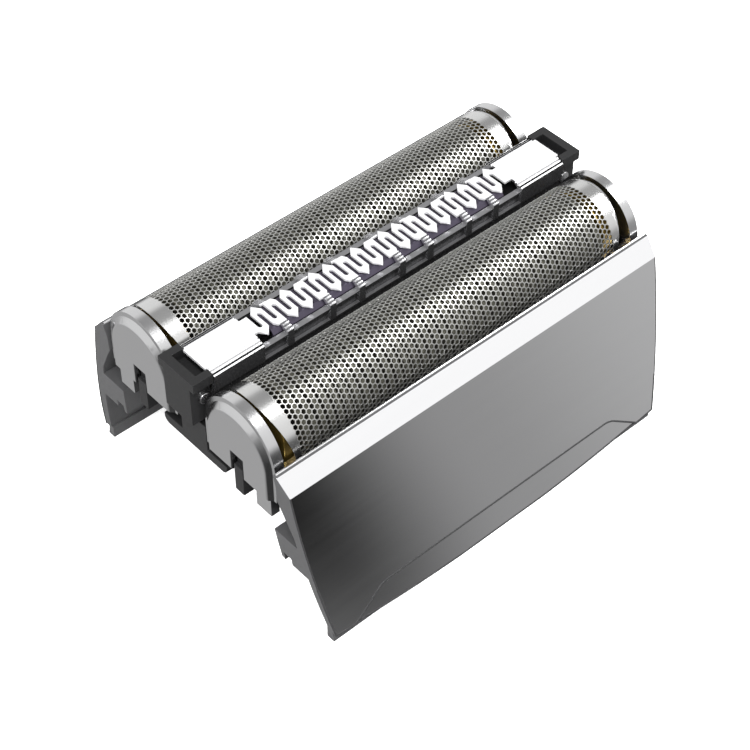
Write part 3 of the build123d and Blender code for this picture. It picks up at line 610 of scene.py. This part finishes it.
# Materials: colour, metallic, roughness, grain of the noise, its scale, its spread of roughness, bump, shade
along = (0.06, 1, 1)
even = (1, 1, 1)
mirror_skin = surface("mirror_skin", (0.94, 0.94, 0.95), 1.0, 0.09, along, 700, 0.02, 0.004, 0.02)
satin_silver = surface("satin_silver", (0.6, 0.6, 0.605), 1.0, 0.22, even, 1500, 0.02, 0.003, 0.02)
moulded_grey = surface("moulded_grey", (0.07, 0.07, 0.072), 0.2, 0.45, even, 2500, 0.05, 0.02)
dark_plastic = surface("dark_plastic", (0.013, 0.013, 0.0135), 0.0, 0.42, even, 3500, 0.06, 0.03, 0.12, 0.25)
shaded_comb_steel = surface("shaded_comb_steel", (0.05, 0.05, 0.052), 0.6, 0.25, even, 3500, 0.05, 0.02, 0.1)
foil_steel = surface("foil_steel", (0.64, 0.64, 0.635), 1.0, 0.24, along, 1200, 0.05, 0.01)
mesh_steel = surface("mesh_steel", (0.47, 0.47, 0.455), 1.0, 0.42, along, 1200, 0.05, 0.01)
# Dark colour of the lines of painted shade along the borders of the skirts' skins
painted_shade_dark = surface("painted_shade_dark", (0.03, 0.03, 0.031), 0.0, 0.5, even, 2500, 0.05, 0.01, 0.1, 0.2)
half_lit_rib_steel = surface("half_lit_rib_steel", (0.42, 0.42, 0.43), 0.9, 0.3, along, 1600, 0.05, 0.01)
blade_steel = surface("blade_steel", (0.085, 0.083, 0.066), 0.6, 0.42, even, 2500, 0.08, 0.03)
# The comb is one steel painted as lit and shaded copies: lit top and meander, shaded walls, half-lit lips'
# tops and ribbed post tops
comb_steel = surface("comb_steel", (0.74, 0.74, 0.75), 0.4, 0.33, along, 1600, 0.05, 0.006)
half_lit_lip_steel = surface("half_lit_lip_steel", (0.34, 0.34, 0.35), 0.9, 0.3, along, 1600, 0.05, 0.01)
violet_steel = surface("violet_steel", (0.06, 0.052, 0.075), 0.7, 0.35, along, 2000, 0.05, 0.01)
brass = surface("brass", (0.31, 0.21, 0.05), 0.9, 0.32, even, 3000, 0.08, 0.03)
spring_steel = surface("spring_steel", (0.55, 0.55, 0.56), 1.0, 0.28, even, 3000, 0.05, 0.02)

# Frame and skirts
fine_edges = ((EDGE_BREAK, 2, None, OWN),)
round_edges = ((EDGE_BREAK, 3, None, OWN),)
for side, sign in (("front", -1), ("rear", 1)):
    dressed(
        f"{side}_skirt", "frame", (mirror_skin, moulded_grey), round_edges, skirt_zone,
        SKIRT_BREAK_ANGLE,
    )
    # Thin dark line of painted shade along the borders of the skin
    painted_shade_line(side)
    ridge_bead(side, sign)
dressed("chassis", "frame", (dark_plastic,), round_edges)

# Trimmer
dressed("trimmer_carrier", "trimmer_unit", (dark_plastic,), ((CARRIER_BREAK, 3, None, OWN),))
dressed(
    "trimmer_drive_block", "trimmer_blade_unit", (dark_plastic,),
    ((SMALL_BREAK, 2, None, OWN),),
)
dressed(
    "trimmer_comb", "trimmer_unit", (comb_steel, shaded_comb_steel, half_lit_lip_steel, half_lit_rib_steel),
    # Broken edges off the ribs take the lit steel: a painted highlight along them
    ((COMB_BREAK, 2, on_ribs, OWN), (COMB_BREAK, 2, off_ribs, LIT)), comb_zone,
)
dressed("trimmer_blade", "trimmer_blade_unit", (violet_steel,))
for end in ("far", "near"):
    dressed(f"{end}_trimmer_pin", "trimmer_unit", (spring_steel,), fine_edges)
    dressed(f"{end}_trimmer_spring", "frame", (spring_steel,))

# Foil units and cutters
for side in ("front", "rear"):
    dressed(
        f"{side}_foil_holder", f"{side}_foil_unit", (satin_silver,),
        ((BOSS_BREAK, 4, on_boss_face, OWN), (HOLDER_BREAK, 3, None, OWN)),
    )
    dressed(f"{side}_cutter_blades", f"{side}_cutter", (blade_steel,))
    dressed(f"{side}_cutter_carrier", f"{side}_cutter", (dark_plastic,), fine_edges)
    for end in ("far", "near"):
        dressed(f"{side}_{end}_end_block", f"{side}_cutter", (brass,), fine_edges)
        dressed(f"{side}_{end}_spring", "frame", (spring_steel,))
for side, sign in (("front", -1), ("rear", 1)):
    fine_foil(f"{side}_fine_foil", sign * FOIL_Y, f"{side}_foil_unit", f"{side}_foil")

studio_world()
floor()
area_light("key", (-0.25, -0.2, 0.45), 0.3, 0.2, 4.0)
area_light("fill", (0.35, -0.1, 0.4), 0.2, 0.3, 2.0)

bpy.context.view_layer.update()
